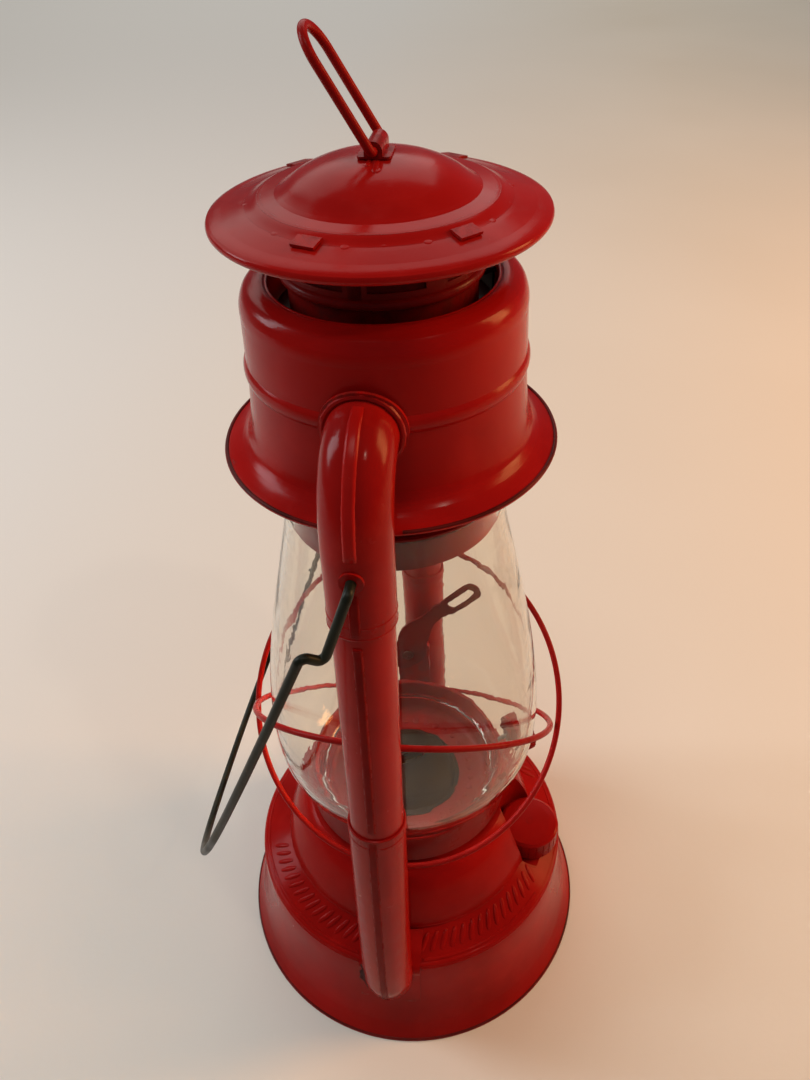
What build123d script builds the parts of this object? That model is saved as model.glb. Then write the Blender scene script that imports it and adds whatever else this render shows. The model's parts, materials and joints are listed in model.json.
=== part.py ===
from build123d import *
import os
from math import sin, cos, radians, pi, hypot, atan2, degrees, sqrt

os.makedirs("parts", exist_ok=True)

# Tubular storm lantern, millimetres. Z up, Z=0 is the table.
# The two side tubes lie on +X and -X. Filler cap and wick knob face -Y.
# Profiles are runs of (radius, z) points on the outer face, bottom to top.

# ---------------------------------------------------------------- driving dimensions
# base
SKIRT = [(85.0, 0), (84.3, 1.4), (82.3, 5.5), (80.5, 10), (78, 20), (75.8, 35), (74.7, 48), (74.2, 52.2)]
SHOULDER = [(74.2, 52.2), (73.7, 53.7), (72.6, 54.3)]
ANNULUS = [(72.6, 54.3), (58.6, 63.2)]
BELL = [(60.4, 62.8), (59.2, 68), (56.4, 76), (52.8, 83.8), (49.8, 87.8), (47.2, 89.9)]
BELL_TOP_Z, BELL_TOP_R, BURNER_HOLE_R = 90.2, 45.0, 20.6
BASE_T = 0.8
BOTTOM_R, BOTTOM_Z = 81.0, 5.0
TANK_R, TANK_Z0, TANK_Z1 = 72.5, 5.8, 27.8
# filler
FX, FY = -5.2, -59.3
NECK_R, NECK_BORE_R, NECK_Z0, NECK_Z1 = 10.5, 9.7, 24.0, 66.0
POCKET_R, POCKET_Z = 16.0, 57.0
CAP_R, CAP_Z0, CAP_Z1, CAP_TOP_Z, CAP_GRIPS = 13.7, 60.5, 70.4, 71.9, 24
# side tubes: the sleeves at both ends are a step wider than the middle tube
SLEEVE_R, SLEEVE_BORE_R, TUBE_R, TUBE_BORE_R = 10.6, 10.0, 9.9, 9.25
UP_X, UP_Z, UP_SLOPE = 64.9, 266.0, 0.053
LOW_X, LOW_Z, LOW_SLOPE = 71.2, 166.0, 0.072
ELBOW_TOP = [(45.5, 318), (52.6, 316.1), (58.2, 311.1), (61.7, 304.0), (63.3, 295.5)]
TUBE_MID = [(66.9, 229), (68.9, 199)]
ELBOW_LOW = [(74.2, 126), (75.9, 104), (77.1, 82), (77.5, 66), (76.9, 55.5), (73.4, 46.5), (66.2, 41.2), (60.0, 40.0)]
PIV_Z, PIV_HOLE_R = 288.5, 1.6
# burner: PHI is the direction of the wick shaft
PHI, SHAFT_Z, SHAFT_OFF, SHAFT_R, SHAFT_BORE_R = -55.0, 93.2, 4.85, 1.2, 1.26
KNOB_R, KNOB_X0, KNOB_X1, KNOB_TEETH = 9.6, 58.0, 63.6, 28
CUP_R, CUP_Z0, CUP_Z1 = 20.0, 30.2, 95.0
WICK_W, WICK_T, WICK_Z0, WICK_Z1 = 15.0, 2.4, 15.6, 102.8
# globe plate, burner cone and globe
DISH = [[(46.0, 95.2), (45.0, 109.4)], [(45.0, 109.4), (44.7, 110.2), (43.9, 110.5), (43.1, 109.8)],
        [(43.1, 109.8), (42.0, 103.9)], [(42.0, 103.9), (38.2, 103.9)],
        [(38.2, 103.9), (37.6, 99.4)], [(37.6, 99.4), (36.2, 97.0), (33.5, 96.2)], [(33.5, 96.2), (22.5, 96.0)]]
CONE = [[(24.4, 96.8), (22.6, 96.9)], [(22.6, 96.9), (22.0, 98.8), (19.6, 102.2), (15.0, 105.2), (8.0, 107.1), (0, 107.5)]]
GLOBE = [(40.9, 104.0), (42.3, 109.8), (46.4, 115.0), (50.6, 121.0), (53.9, 128.0), (56.2, 136.0), (57.2, 146.0),
         (56.9, 160.0), (54.9, 180.0), (51.6, 200.0), (47.5, 220.0), (43.2, 240.0), (40.6, 252.0), (39.0, 263.0), (39.0, 273.5)]
GLASS_T = 2.2
# globe lift: pivot, crank radius and blade plane
PY, PZ, CRANK_R, LEVER_X0, LEVER_X1 = 7.0, 113.9, 12.0, 58.8, 60.0
# wire guards: half lengths, tilt, centre height and wire radius
GUARD_A, GUARD_B1, GUARD_B2, GUARD_TILT, GUARD_Z, GUARD_X, GUARD_WIRE_R = 71.5, 63.5, 67.3, 41.0, 145.5, 3.5, 1.25
# canopy
CANOPY = [[(55.3, 289.6), (52.2, 290.8), (49.0, 292.6), (46.9, 294.8), (45.8, 297.6), (45.0, 302.0), (44.3, 309.0), (43.9, 316.4)],
          [(43.9, 316.4), (44.5, 317.6), (44.75, 319.2), (44.5, 320.8), (43.8, 322.0)],
          [(43.8, 322.0), (43.5, 330.0), (43.3, 336.5)],
          [(43.3, 336.5), (43.0, 340.4), (41.4, 343.6), (38.6, 345.1), (35.6, 345.3), (34.3, 344.4)]]
CANOPY_T, COLLAR_R = 0.7, 12.9
GUIDE_Z, GUIDE_BORE_R = 334.0, 28.6
# hood
BRIM = [[(48.2, 361.9), (48.75, 362.9), (48.4, 364.1)], [(48.4, 364.1), (47.6, 364.5), (44.0, 365.4), (39.0, 366.75), (33.9, 367.9)],
        [(33.9, 367.9), (27.5, 368.6)]]
DOME = [[(33.9, 368.85), (28.9, 369.5)], [(28.9, 369.5), (27.6, 370.2), (23.0, 373.2), (16.0, 376.2), (8.0, 377.8), (0, 378.3)]]
TABS = (160.5, 224.5, 332.0, 48.0)
NECK = [[(29.4, 346.4), (30.3, 346.9), (30.5, 347.8), (30.2, 348.9), (29.4, 349.5)], [(29.4, 349.5), (29.4, 361.0)]]
WINDOWS, WINDOW_AZ, WINDOW_W, WINDOW_Z0, WINDOW_Z1 = 8, 152.0, 16.0, 351.2, 356.4
DRAFT_R, DRAFT_BORE_R, DRAFT_Z0, DRAFT_Z1 = 28.4, 27.8, 284.0, 350.0
SPRING_R, SPRING_WIRE_R, SPRING_PITCH, SPRING_TURNS, SPRING_Z0 = 31.3, 0.6, 8.7, 5, 289.6
# lifting ring
RING_Z, RING_TILT, RING_LEN, RING_HALF_W, RING_CORNER, RING_WIRE_R = 380.3, 31.0, 25.0, 8.0, 1.9, 1.3
SADDLE_X = 5.9
# bail
BAIL_TILT, BAIL_Y0, BAIL_HALF_W, BAIL_LEN, BAIL_POWER, BAIL_START, BAIL_WIRE_R = 22.5, 6.1, 88.3, 226.4, 2.6, 15.5, 1.55
BAIL_LEG = [(68.5, 0, PIV_Z), (79.8, 0, PIV_Z), (84.4, 7.6, 266.6)]
BAIL_SHOULDER = [(88.0, 17.86), (88.3, 40.27)]


# ---------------------------------------------------------------- helpers
def unit(v):
    L = hypot(*v)
    return (v[0] / L, v[1] / L)


def circle_tangent(a, b, c, i):
    """Tangent at point i of the circle through three 2-D points, pointing onwards."""
    ax, ay, bx, by, cx, cy = *a, *b, *c
    d = 2 * (ax * (by - cy) + bx * (cy - ay) + cx * (ay - by))
    if abs(d) < 1e-6:
        return unit((cx - ax, cy - ay))
    ux = ((ax * ax + ay * ay) * (by - cy) + (bx * bx + by * by) * (cy - ay) + (cx * cx + cy * cy) * (ay - by)) / d
    uy = ((ax * ax + ay * ay) * (cx - bx) + (bx * bx + by * by) * (ax - cx) + (cx * cx + cy * cy) * (bx - ax)) / d
    p = (a, b, c)[i]
    t = unit((-(p[1] - uy), p[0] - ux))
    nxt = (b[0] - a[0], b[1] - a[1]) if i == 0 else (c[0] - b[0], c[1] - b[1])
    return t if t[0] * nxt[0] + t[1] * nxt[1] > 0 else (-t[0], -t[1])


def tangents_of(pts, t0=None, t1=None):
    out = [circle_tangent(*pts[:3], 0)]
    for i in range(1, len(pts) - 1):
        out.append(circle_tangent(*pts[i - 1:i + 2], 1))
    out.append(circle_tangent(*pts[-3:], 2))
    if t0:
        out[0] = unit(t0)
    if t1:
        out[-1] = unit(t1)
    return out


def arc_from(p, t, q, place):
    """The circular arc from p to q that leaves p along t, or a line when they are in line."""
    v = (q[0] - p[0], q[1] - p[1])
    n = (-t[1], t[0])
    s = n[0] * v[0] + n[1] * v[1]
    if abs(s) < 2e-3 * hypot(*v):
        return Line(place(p), place(q))
    k = (v[0] ** 2 + v[1] ** 2) / (2 * s)
    c = (p[0] + n[0] * k, p[1] + n[1] * k)
    m = unit(((p[0] + q[0]) / 2 - c[0], (p[1] + q[1]) / 2 - c[1]))
    return ThreePointArc(place(p), place((c[0] + m[0] * abs(k), c[1] + m[1] * abs(k))), place(q))


def biarcs(pts, tans, place):
    """Smooth chain of tangent arcs through 2-D points with a tangent at each."""
    out = []
    for p, q, a, b in zip(pts[:-1], pts[1:], tans[:-1], tans[1:]):
        v = (q[0] - p[0], q[1] - p[1])
        t = (a[0] + b[0], a[1] + b[1])
        vt, vv, ab = v[0] * t[0] + v[1] * t[1], v[0] ** 2 + v[1] ** 2, a[0] * b[0] + a[1] * b[1]
        if 1 - ab < 1e-7:
            d = vv / (2 * vt)
        else:
            d = (-vt + sqrt(vt * vt + 2 * (1 - ab) * vv)) / (2 * (1 - ab))
        m = ((p[0] + q[0] + d * (a[0] - b[0])) / 2, (p[1] + q[1] + d * (a[1] - b[1])) / 2)
        out.append(arc_from(p, a, m, place))
        w = (2 * (m[0] - p[0] - d * a[0]), 2 * (m[1] - p[1] - d * a[1]))
        out.append(arc_from(m, unit(w), q, place))
    return out


def rz(p):
    return (p[0], 0, p[1])


def smooth(pts, t0=None, t1=None, place=rz):
    if len(pts) == 2:
        return [Line(place(pts[0]), place(pts[1]))]
    return biarcs(pts, tangents_of(pts, t0, t1), place)


def offset_pts(pts, t):
    """Offset an (r, z) polyline to its left by t, with mitred corners."""
    out = []
    n = len(pts)
    nrm = []
    for a, b in zip(pts[:-1], pts[1:]):
        dr, dz = b[0] - a[0], b[1] - a[1]
        L = hypot(dr, dz)
        nrm.append((-dz / L, dr / L))
    for i in range(n):
        if i == 0:
            m = nrm[0]
            k = 1.0
        elif i == n - 1:
            m = nrm[-1]
            k = 1.0
        else:
            a, b = nrm[i - 1], nrm[i]
            m = (a[0] + b[0], a[1] + b[1])
            L = hypot(*m)
            m = (m[0] / L, m[1] / L)
            k = 1.0 / max(0.35, m[0] * a[0] + m[1] * a[1])
        out.append((max(0.0, pts[i][0] + m[0] * t * k), pts[i][1] + m[1] * t * k))
    return out


def cubic(p, q, a, b):
    """Cubic curve from p to q that leaves along a and arrives along b."""
    k = hypot(q[0] - p[0], q[1] - p[1]) / 3
    return Bezier(rz(p), rz((p[0] + a[0] * k, p[1] + a[1] * k)), rz((q[0] - b[0] * k, q[1] - b[1] * k)), rz(q))


def run(pts, t1=None):
    """One smooth run of a revolved profile; a run that ends on the axis ends level."""
    if len(pts) == 2:
        return [Line(rz(pts[0]), rz(pts[1]))]
    tans = tangents_of(pts, None, (-1, 0) if pts[-1][0] == 0 else t1)
    return [cubic(p, q, a, b) for p, q, a, b in zip(pts[:-1], pts[1:], tans[:-1], tans[1:])]


def shell(segs, t, flat=False):
    """Thin revolved sheet. segs: runs of outer (r, z) points, bottom to top."""
    pts = list(segs[0])
    cut = [0, len(pts) - 1]
    for s in segs[1:]:
        pts += list(s[1:])
        cut.append(len(pts) - 1)
    inn = offset_pts(pts, t)
    if flat:
        inn[0] = (inn[0][0], pts[0][1])
    ed = []
    for a, b in zip(cut[:-1], cut[1:]):
        ed += run(pts[a:b + 1])
    ed += [Line(rz(pts[-1]), rz(inn[-1]))]
    for a, b in zip(cut[:-1], cut[1:]):
        ed += run(inn[a:b + 1])
    ed += [Line(rz(inn[0]), rz(pts[0]))]
    return revolve(make_face(ed), Axis.Z, 360)


def solid_rev(pts):
    return revolve(make_face(Polyline(*[(r, 0, z) for r, z in pts], close=True)), Axis.Z, 360)


def tube(r_out, r_in, z0, z1, x=0, y=0):
    h = z1 - z0
    s = Cylinder(r_out, h) - Cylinder(r_in, h * 3)
    return Pos(x, y, (z0 + z1) / 2) * s


def cyl(r, z0, z1, x=0, y=0):
    return Pos(x, y, (z0 + z1) / 2) * Cylinder(r, z1 - z0)


def cyl_x(r, x0, x1, y, z):
    return Pos((x0 + x1) / 2, y, z) * Rot(0, 90, 0) * Cylinder(r, x1 - x0)


def box(x0, x1, y0, y1, z0, z1):
    return Pos((x0 + x1) / 2, (y0 + y1) / 2, (z0 + z1) / 2) * Box(x1 - x0, y1 - y0, z1 - z0)


def at(az, s):
    return Rot(0, 0, az) * s


def sweep_round(path, r):
    pl = Plane(origin=path @ 0, z_dir=path % 0)
    return sweep(pl * Circle(r), path=path)


def flip(s):
    return mirror(s, about=Plane.YZ)


def bent(pts, rad):
    """3-D polyline with true arcs at the corners, as a list of edges."""
    P = [Vector(*p) for p in pts]
    out = []
    cur = P[0]
    for a, b, c in zip(P[:-2], P[1:-1], P[2:]):
        u = (a - b).normalized()
        v = (c - b).normalized()
        half = radians(u.get_angle(v)) / 2
        d = rad * cos(half) / sin(half)
        bis = (u + v).normalized()
        cen = b + bis * (rad / sin(half))
        p0, p1 = b + u * d, b + v * d
        if (p0 - cur).length > 0.01:
            out.append(Line(cur, p0))
        out.append(ThreePointArc(p0, cen - bis * rad, p1))
        cur = p1
    out.append(Line(cur, P[-1]))
    return out


made = {}


def put(name, s):
    if isinstance(s, (list, ShapeList)):
        s = Compound(children=list(s)) if len(s) > 1 else s[0]
    sol = s.solids()
    if len(sol) > 1:
        sol = sorted(sol, key=lambda q: -q.volume)
        sol = [q for q in sol if q.volume > sol[0].volume * 0.02]
        s = sol[0] if len(sol) == 1 else Compound(children=sol)
    else:
        s = sol[0]
    made[name] = s
    s.label = name
    export_step(s, "parts/%s.step" % name)


# ---------------------------------------------------------------- side tubes
def u_line(z):
    return UP_X + (UP_Z - z) * UP_SLOPE


def l_line(z):
    return LOW_X + (LOW_Z - z) * LOW_SLOPE


TU = unit((UP_SLOPE, -1))
TL = unit((LOW_SLOPE, -1))

up_pts = ELBOW_TOP + [(u_line(280), 280)]
path_up = Wire([Line((41, 0, 318), (45.5, 0, 318))] + smooth(up_pts, (1, 0), TU)
               + [Line(rz(up_pts[-1]), (u_line(266), 0, 266))])

mid_pts = [(u_line(258), 258)] + TUBE_MID + [(l_line(176), 176)]
mid_tan = tangents_of(mid_pts, TU, TL)
path_mid = Wire([Line((u_line(275), 0, 275), rz(mid_pts[0]))] + biarcs(mid_pts, mid_tan, rz)
                + [Line(rz(mid_pts[-1]), (l_line(158), 0, 158))])

low_pts = [(l_line(154), 154)] + ELBOW_LOW
path_low = Wire([Line((l_line(168), 0, 168), rz(low_pts[0]))] + smooth(low_pts, TL, (-1, 0))
                + [Line(rz(low_pts[-1]), (55.5, 0, 40.0))])

up_fill = sweep_round(path_up, SLEEVE_R)
low_fill = sweep_round(path_low, SLEEVE_R)
mid_fill = sweep_round(path_mid, TUBE_R)
up_tube = up_fill - sweep_round(path_up, SLEEVE_BORE_R)
low_tube = low_fill - sweep_round(path_low, SLEEVE_BORE_R)
mid_tube = mid_fill - sweep_round(path_mid, TUBE_BORE_R)

# folded seam, a raised strip down the outside of the middle tube
sp = [(u_line(262), 262)] + mid_pts + [(l_line(172.5), 172.5)]
st = [TU] + mid_tan + [TL]
sp = [(p[0] - t[1] * (TUBE_R + 0.05), p[1] + t[0] * (TUBE_R + 0.05)) for p, t in zip(sp, st)]
sm_path = Wire([Line(rz(sp[0]), rz(sp[1]))] + biarcs(sp[1:-1], st[1:-1], rz) + [Line(rz(sp[-2]), rz(sp[-1]))])
sm_pl = Plane(origin=sm_path @ 0, x_dir=(0, 1, 0), z_dir=sm_path % 0)
seam = sweep(sm_pl * Rectangle(2.6, 0.9), path=sm_path)
mid_tube = mid_tube + seam

# bail pivot holes
hole = cyl_x(PIV_HOLE_R, 66, 82, 0, PIV_Z)
up_tube = up_tube - hole
# pressed ring round the pivot hole
eye = cyl_x(3.6, 70, 75.0, 0, PIV_Z) - cyl_x(PIV_HOLE_R, 60, 82, 0, PIV_Z) - up_fill

put("right_upper_elbow", up_tube)
put("left_upper_elbow", flip(up_tube))
put("right_pivot_eye", eye)
put("left_pivot_eye", flip(eye))
put("right_middle_tube", mid_tube)
put("left_middle_tube", flip(mid_tube))
put("right_lower_elbow", low_tube)
put("left_lower_elbow", flip(low_tube))

# ---------------------------------------------------------------- base
fount = shell([SKIRT, SHOULDER, ANNULUS, [ANNULUS[1], (56.6, 63.2)]], BASE_T, flat=True)
low_cut = sweep_round(path_low, SLEEVE_R + 0.08)

PK = POCKET_R
NECK_HOLE = NECK_R + 0.06
fount = fount - low_cut - flip(low_cut) - cyl(PK + 0.85, 57.8, 75, FX, FY) - cyl(NECK_HOLE, 40, 75, FX, FY)
put("fount_shell", fount)

bottom = cyl(BOTTOM_R, BOTTOM_Z, BOTTOM_Z + BASE_T) + tube(BOTTOM_R, BOTTOM_R - BASE_T, 2.4, BOTTOM_Z + BASE_T)
for r0, r1 in ((52, 54), (30, 32)):
    bottom = bottom + tube(r1, r0, 4.4, 5.2)
put("fount_bottom", bottom)

put("oil_tank", tube(TANK_R, TANK_R - BASE_T, TANK_Z0, TANK_Z1 - BASE_T))
put("tank_top", cyl(TANK_R, TANK_Z1 - BASE_T, TANK_Z1) - cyl(13.6, 20, 40) - cyl(NECK_HOLE, 20, 40, FX, FY))

bell = shell([BELL, [BELL[-1], (BELL_TOP_R, BELL_TOP_Z)], [(BELL_TOP_R, BELL_TOP_Z), (BURNER_HOLE_R, BELL_TOP_Z)]], BASE_T)
filled = solid_rev([(0, 48), (74.6, 48), (74.2, 52.2), (72.6, 54.3), (60.4, 62.06)] + BELL + [(BELL_TOP_R, BELL_TOP_Z), (0, BELL_TOP_Z)])
bell_full = bell
bell = bell - cyl(PK + BASE_T, 50, 95, FX, FY)
for k in range(18):
    if k in (13, 14):
        continue
    bell = bell - at(k * 20 + 4, cyl(2.2, 80, 95, 34, 0))
put("air_bell", bell)

pocket = (tube(PK + BASE_T, PK, POCKET_Z, 92, FX, FY) + cyl(PK + BASE_T, POCKET_Z, POCKET_Z + BASE_T, FX, FY)) & filled
pocket = pocket - cyl(NECK_HOLE, 40, 80, FX, FY) - fount
put("filler_pocket", pocket)

SH = [(78.2, 28.0), (77.2, 36.0), (76.1, 50.0), (75.3, 54.6), (73.4, 56.3), (61.8, 63.8)]
shoe = shell([SH[:3], [SH[2], SH[3], SH[4]], [SH[4], SH[5]]], 1.0)
shoe = (shoe & box(50, 95, -13.8, 13.8, 20, 80)) - low_cut
put("right_tube_shoe", shoe)
put("left_tube_shoe", flip(shoe))

# filler
put("filler_neck", tube(NECK_R, NECK_BORE_R, NECK_Z0, NECK_Z1, FX, FY) + tube(NECK_R, 9.2, NECK_Z1 - 1.2, NECK_Z1, FX, FY))
put("filler_gasket", tube(10.9, 8.2, NECK_Z1, NECK_Z1 + 1.6, FX, FY))
cap = cyl(CAP_R, CAP_Z0, CAP_Z1, FX, FY) - cyl(CAP_R - 0.8, CAP_Z0 - 5.5, CAP_Z1 - 1.2, FX, FY)
cap_top = Pos(FX, FY, 0) * solid_rev([(0, CAP_Z1 - 1.2), (CAP_R, CAP_Z1 - 1.2), (CAP_R, CAP_Z1), (CAP_R - 1.2, CAP_Z1 + 1.0),
                                      (9.5, CAP_Z1 + 1.3), (0, CAP_TOP_Z)])
cap = cap + cap_top
for k in range(CAP_GRIPS):
    a = radians(k * 360 / CAP_GRIPS)
    cap = cap - cyl(0.55, 60, 69.6, FX + (CAP_R + 0.25) * cos(a), FY + (CAP_R + 0.25) * sin(a))
put("filler_cap", cap)
put("cap_thread_ring", tube(12.9, 10.95, 60.9, 69.2, FX, FY) + tube(12.9, 12.0, 60.9, 61.0, FX, FY))

# ---------------------------------------------------------------- burner
WZ, OFF = SHAFT_Z, SHAFT_OFF
cup = tube(CUP_R, CUP_R - 0.7, CUP_Z0, CUP_Z1) + tube(CUP_R, 13.6, CUP_Z0, CUP_Z0 + 0.7)
for zz in (48, 60, 72, 83):
    for k in range(10):
        a = 36 * k + (18 if zz in (60, 83) else 0)
        cup = cup - at(a, cyl_x(2.6, 15, 25, 0, zz))
cup = cup - at(PHI, cyl_x(SHAFT_BORE_R, 10, 25, -OFF, WZ))
put("burner_cup", cup)

plug = cyl(17.0, 27.8, 30.2) + cyl(13.5, 22.0, 30.2)
plug = plug - at(PHI, box(-8.55, 8.55, -2.25, 2.25, 0, 60))
put("burner_plug", plug)

wt = box(-8.5, 8.5, -2.2, 2.2, 16, 101.2)
wt = fillet(wt.edges().filter_by(Axis.Z), 1.6)
wi = fillet(box(-7.9, 7.9, -1.6, 1.6, 10, 110).edges().filter_by(Axis.Z), 1.0)
wt = wt - wi
ear = box(-8.5, -7.5, -7.0, -1.9, 90.4, 95.9) + box(7.5, 8.5, -7.0, -1.9, 90.4, 95.9)
wt = wt + (ear - wi)
wt = wt - box(-6.4, 6.4, -3.0, -1.0, WZ - 4.2, WZ + 4.2)
wt = wt - cyl_x(SHAFT_BORE_R, -12, 12, -OFF, WZ)
put("wick_tube", at(PHI, wt))

wick = fillet(box(-WICK_W / 2, WICK_W / 2, -WICK_T / 2, WICK_T / 2, WICK_Z0, WICK_Z1).edges().filter_by(Axis.Z), 0.9)
put("wick", at(PHI, wick))

spur = cyl_x(2.0, -5.6, 5.6, 0, 0)
wheel = Rot(0, 90, 0) * Cylinder(3.5, 2.2)
for k in range(12):
    wheel = wheel - Rot(30 * k, 0, 0) * Pos(0, 0, 3.75) * (Rot(0, 90, 0) * Cylinder(0.62, 3))
spur = spur + Pos(-3.6, 0, 0) * wheel + Pos(3.6, 0, 0) * wheel
spur = spur - cyl_x(SHAFT_R, -10, 10, 0, 0)
put("wick_spurs", at(PHI, Pos(0, -OFF, WZ) * spur))
shaft = cyl_x(SHAFT_R, -9.3, KNOB_X1 - 0.6, 0, 0)
put("wick_shaft", at(PHI, Pos(0, -OFF, WZ) * shaft))
knob = cyl_x(KNOB_R, KNOB_X0, KNOB_X1, 0, 0) + cyl_x(3.4, KNOB_X0 - 2.5, KNOB_X0, 0, 0)
knob = knob - cyl_x(SHAFT_R, KNOB_X0 - 8, KNOB_X1 - 0.6, 0, 0)
for k in range(KNOB_TEETH):
    a = radians(360 / KNOB_TEETH * k)
    knob = knob - cyl_x(0.75, KNOB_X0 - 0.1, KNOB_X1 + 0.4, (KNOB_R + 0.25) * cos(a), (KNOB_R + 0.25) * sin(a))
knob = knob - (cyl_x(7.0, KNOB_X1 - 0.8, KNOB_X1 + 0.4, 0, 0) - cyl_x(3.0, KNOB_X1 - 0.8, KNOB_X1 + 0.4, 0, 0))
put("wick_knob", at(PHI, Pos(0, -OFF, WZ) * knob))

# ---------------------------------------------------------------- globe carrier
put("globe_plate", shell(DISH, 0.7))

cone = shell(CONE, 0.6)
cone = cone - at(PHI, fillet(box(-9.2, 9.2, -2.7, 2.7, 100, 112).edges().filter_by(Axis.Z), 2.4))
put("burner_cone", cone)

GI = [(GLOBE[0][0] - 2.0, GLOBE[0][1])] + offset_pts(GLOBE, GLASS_T)[1:-1] + [(GLOBE[-1][0] - GLASS_T, GLOBE[-1][1])]
g_face = make_face(run(GLOBE, (0, 1)) + [Line(rz(GLOBE[-1]), rz(GI[-1]))] + run(GI, (0, 1)) + [Line(rz(GI[0]), rz(GLOBE[0]))])
put("globe", revolve(g_face, Axis.Z, 360))

# lift tongue on the globe plate
CR = CRANK_R
py0, pz0 = PY + CR * cos(radians(-30)), PZ + CR * sin(radians(-30))
tongue = box(45.2, 46.2, 13.6, 23.0, 104.6, 110.6) + box(45.2, 46.2, 13.6, 18.6, 95.2, 104.6)
foot = box(38.0, 46.2, 13.6, 18.6, 95.2, 96.2) - cyl(46.02, 90, 100)
tongue = tongue + foot
slot = box(44, 48, py0, PY + CR, pz0 - 1.45, pz0 + 1.45) + cyl_x(1.45, 44, 48, py0, pz0) + cyl_x(1.45, 44, 48, PY + CR, pz0)
put("lift_tongue", tongue - slot)

# ---------------------------------------------------------------- lift lever
LX0, LX1 = LEVER_X0, LEVER_X1
lp = Plane(origin=(LX0, 0, 0), x_dir=(0, 1, 0), z_dir=(1, 0, 0))
body = make_face(Spline((py0 + 0.5, pz0 - 3.6), (py0 + 3.9, pz0), (py0 + 0.8, pz0 + 3.7), (14.2, 117.5), (12.2, 127.0), (6.0, 137.0),
                        (-3.0, 144.8), (-11.0, 152.0), (-15.5, 148.0), (-9.5, 141.0), (-5.5, 132.5), (-3.0, 122.0),
                        (-1.8, 112.0), (3.0, 106.3), periodic=True))
loop = Pos(-20.4, 156.2) * Rot(0, 0, 135) * SlotOverall(26, 10.5)
loop_in = Pos(-21.0, 156.8) * Rot(0, 0, 135) * SlotOverall(17, 5.0)
lev2d = body + loop - loop_in
lever = extrude(lp * lev2d, LX1 - LX0)
lever = lever - cyl_x(1.56, 50, 70, PY, PZ) - cyl_x(1.2, 50, 70, py0, pz0)
put("lift_lever", lever)
put("lift_pin", cyl_x(1.2, 44.4, LX1 + 0.2, py0, pz0) + cyl_x(1.9, 43.6, 44.6, py0, pz0))

br = box(60.3, 61.5, -4.0, 13.0, 88.0, 121.0)
br = fillet(br.edges().filter_by(Axis.X), 3.0)
br = br + box(61.3, 76, -4.0, -2.8, 98, 119) + box(61.3, 76, 2.2, 3.4, 98, 119)
br = br - low_fill - cyl_x(1.5, 50, 70, PY, PZ)
put("lever_bracket", br)
riv = cyl_x(1.5, 57.8, 62.2, PY, PZ) + cyl_x(2.9, 57.6, 58.7, PY, PZ) + cyl_x(2.7, 61.5, 62.3, PY, PZ)
put("lever_rivet", riv - cyl_x(0.75, 50, 70, PY, PZ))


# ---------------------------------------------------------------- globe guard
def guard(cx, sgn, b, a=GUARD_A, n=12):
    """Oval wire hoop in a plane that leans about Y."""
    bt = radians(GUARD_TILT) * sgn
    pl = Plane(origin=(cx, 0, GUARD_Z), x_dir=(cos(bt), 0, sin(bt)), z_dir=(-sin(bt), 0, cos(bt)))
    ts = [2 * pi * k / n for k in range(n + 1)]
    path = Wire(biarcs([(a * cos(t), b * sin(t)) for t in ts], [unit((-a * sin(t), b * cos(t))) for t in ts],
                       lambda p: pl.from_local_coords(Vector(p[0], p[1], 0))))
    return sweep_round(path, GUARD_WIRE_R)


ring_a = guard(-GUARD_X, -1, GUARD_B1)
ring_b = guard(GUARD_X, 1, GUARD_B2)
put("guard_ring_a", ring_a)
put("guard_ring_b", ring_b)

hi = box(55.9, 61.5, -3.5, 3.5, 190.2, 194.8)
put("right_guard_clip", hi - ring_b - mid_fill)
put("left_guard_clip", flip(hi) - ring_a - flip(mid_fill))
lo = box(48.7, 52.2, -3.0, 3.0, 80.0, 101.0)
under = solid_rev([(0, 48), (60.4, 48)] + BELL + [(BELL_TOP_R, BELL_TOP_Z), (0, BELL_TOP_Z)])
bell_fill = bell_full + under
put("right_guard_foot", lo - ring_a - bell_fill)
put("left_guard_foot", flip(lo) - ring_b - bell_fill)

# ---------------------------------------------------------------- canopy
canopy = shell(CANOPY, CANOPY_T)
hx = sweep_round(path_up, SLEEVE_R + 0.08)
canopy = canopy - hx - flip(hx)
put("canopy_shell", canopy)

col = (cyl_x(COLLAR_R, 40, 52, 0, 318) - cyl_x(SLEEVE_R + 0.08, 35, 55, 0, 318)) & (tube(45.9, 44.8, 300, 335))
put("right_tube_collar", col)
put("left_tube_collar", flip(col))

guide = tube(33.0, GUIDE_BORE_R, GUIDE_Z, GUIDE_Z + 1.2)
for k in range(4):
    guide = guide + at(45 + 90 * k, box(32.0, 42.4, -3, 3, GUIDE_Z, GUIDE_Z + 1.2))
    guide = guide + at(45 + 90 * k, box(41.0, 41.8, -3, 3, GUIDE_Z - 8, GUIDE_Z + 1.2))
put("canopy_guide", guide)

# ---------------------------------------------------------------- hood
brim = shell(BRIM, 0.8)
brk = tube(36.6, 29.5, 361.0, 361.8)
tab_poly = Plane.XZ * make_face(Polyline((35.6, 361.0), (36.4, 361.0), (36.4, 367.52), (40.2, 366.68), (40.4, 367.5), (36.2, 368.45), (35.6, 368.3), close=True))
tab = extrude(tab_poly, 3.5, both=True)
for a in TABS:
    brim = brim - at(a, box(35.5, 36.5, -3.7, 3.7, 360, 372))
    brk = brk + at(a, tab)
put("hood_cap", brim)
put("hood_bracket", brk)

put("hood_dome", shell(DOME, 0.8))

neck = shell(NECK, 0.6)
for k in range(WINDOWS):
    neck = neck - at(WINDOW_AZ + 360 / WINDOWS * k, box(25, 35, -WINDOW_W / 2, WINDOW_W / 2, WINDOW_Z0, WINDOW_Z1))
put("hood_neck", neck)

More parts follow.
